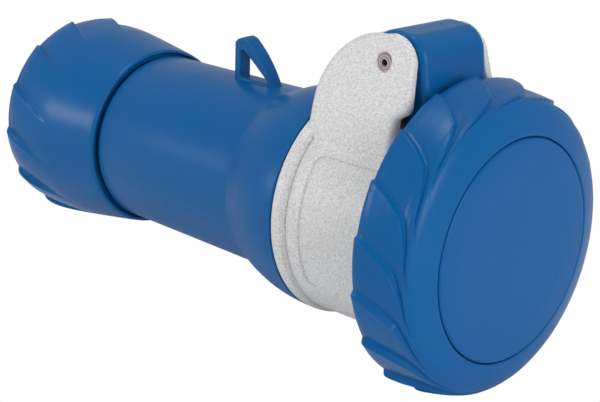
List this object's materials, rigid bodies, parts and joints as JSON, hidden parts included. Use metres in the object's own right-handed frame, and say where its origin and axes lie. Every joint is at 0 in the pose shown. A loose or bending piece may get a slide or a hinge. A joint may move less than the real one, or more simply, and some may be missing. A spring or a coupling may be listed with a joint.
{
  "type": "industrial pin and sleeve connector with hinged lid",
  "caption": "Portable pin-and-sleeve connector: grey socket sleeve, sprung watertight lid with a swirl-ribbed bayonet ring, blue body with hanging lug, and a ribbed gland nut.",
  "frame": {"origin": "centre of the socket mouth, on the axis of the socket bore", "axes": "+X along the axis out of the socket mouth, +Z towards the lid hinge and the hanging lug"},
  "size_m": [0.2578, 0.1204, 0.1371],
  "materials": {
    "grey_plastic": "fine matt moulded polyamide",
    "blue_plastic": "satin moulded polyamide",
    "black_rubber": "soft seal rubber",
    "carrier_plastic": "glass-filled polyamide",
    "contact_brass": "turned brass",
    "spring_steel": "drawn spring wire",
    "screw_steel": "zinc-plated steel",
    "pin_steel": "coiled spring steel",
    "natural_nylon": "natural nylon"
  },
  "bodies": {
    "connector": {"front_sleeve": "grey_plastic", "socket_floor": "grey_plastic", "rear_body": "blue_plastic", "body_seal": "black_rubber", "contact_carrier": "carrier_plastic", "carrier_collar": "carrier_plastic", "retaining_ring": "grey_plastic", "contact_line": "contact_brass", "contact_neutral": "contact_brass", "contact_earth": "contact_brass", "contact_pilot": "contact_brass", "contact_springs": "spring_steel", "terminal_screws": "screw_steel", "grommet": "black_rubber", "hinge_pin": "pin_steel", "hinge_spring": "spring_steel"},
    "gland": {"thrust_washer": "natural_nylon", "cord_grip": "natural_nylon"},
    "nut": {"clamp_nut": "blue_plastic"},
    "lid_group": {"lid": "blue_plastic", "lid_gasket": "black_rubber", "ring_retainer": "blue_plastic", "lid_screws": "screw_steel"},
    "ring": {"lock_ring": "blue_plastic"}
  },
  "joints": [
    {"name": "lid_hinge", "type": "hinge", "parent": "connector", "child": "lid_group", "pos_m": [-0.0373, 0, 0.065], "axis": [0, -1, 0], "range_deg": [0, 110], "stiffness_Nm_per_rad": 0.1, "springref_deg": -91.67, "deforming": ["hinge_spring"]},
    {"name": "ring_turn", "type": "hinge", "parent": "lid_group", "child": "ring", "pos_m": [0.007, 0, 0], "axis": [1, 0, 0], "range_deg": [0, 46]},
    {"name": "gland_slide", "type": "slide", "parent": "connector", "child": "gland", "axis": [-1, 0, 0], "range_m": [0, 0.0064]},
    {"name": "nut_turn", "type": "hinge", "parent": "gland", "child": "nut", "pos_m": [-0.2176, 0, 0], "axis": [-1, 0, 0], "range_deg": [0, 720]}
  ],
  "couplings": [
    {"joint": "gland_slide", "follows": "nut_turn", "m_per_rad": 0.000477}
  ]
}
